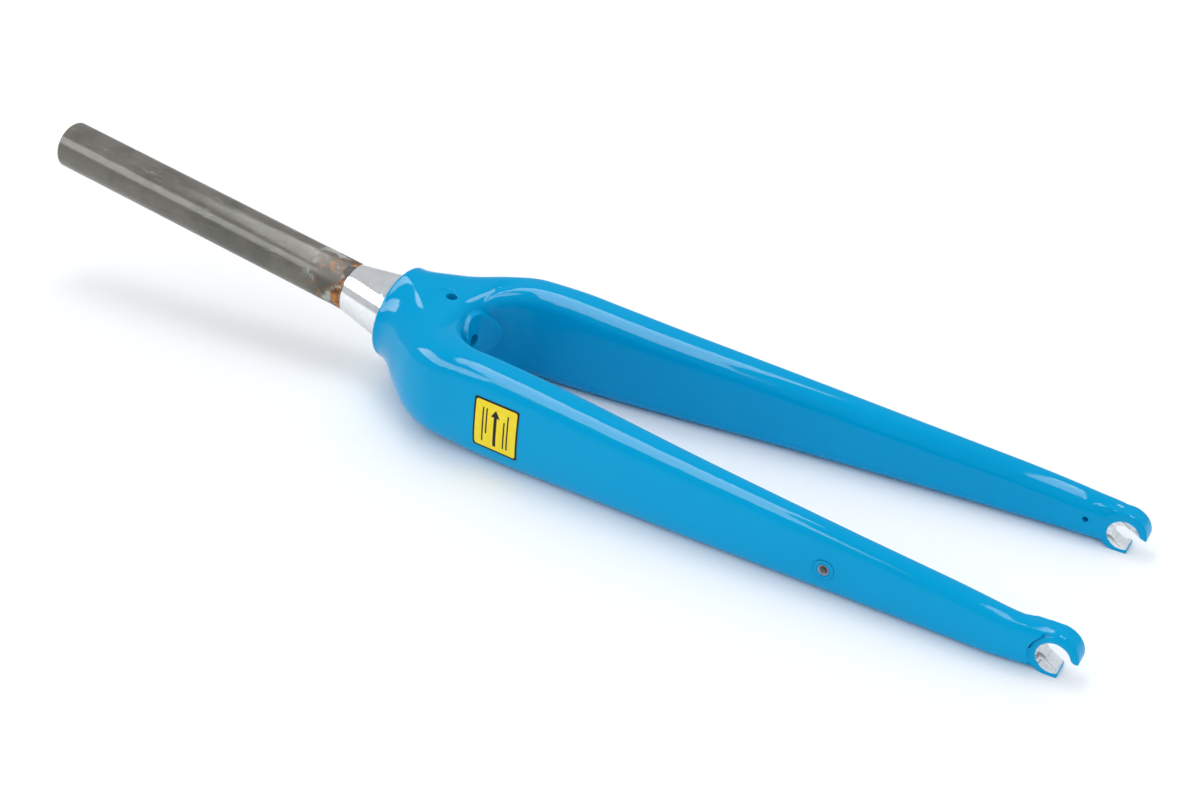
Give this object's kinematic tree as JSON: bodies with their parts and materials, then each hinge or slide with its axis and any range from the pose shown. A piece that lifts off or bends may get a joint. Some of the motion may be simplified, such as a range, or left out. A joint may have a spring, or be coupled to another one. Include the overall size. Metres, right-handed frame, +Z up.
{
  "type": "bicycle fork",
  "caption": "Rigid bicycle fork with a moulded crown and two blades, a steel steerer tube, a tapered crown core and slotted dropouts.",
  "frame": {"origin": "middle of the bounding box, on the floor that the fork's back rests on", "axes": "+X runs from the steerer's free end to the dropouts along the floor, +Z is up and is the riding direction's side of the fork, +Y is the rider's left blade; the steerer axis is 10.2 degrees above the floor"},
  "size_m": [0.6555, 0.1308, 0.097],
  "materials": {
    "steel": "raw, lightly scratched, with a rust-brown stain near the crown",
    "alloy": "turned and polished",
    "paint": "gloss cyan blue paint on a moulded body",
    "painted_alloy": "gloss cyan blue paint, bare metal in the nut's seat and the slot",
    "insert": "bare bore with a painted ring",
    "label": "yellow film with a black border and a plain black arrow"
  },
  "bodies": {
    "root": {"steerer_tube": "steel", "crown_core": "alloy", "fork_body": "paint", "dropout_right": "painted_alloy", "dropout_left": "painted_alloy", "insert_right": "insert", "insert_left": "insert", "direction_label": "label"}
  },
  "joints": []
}
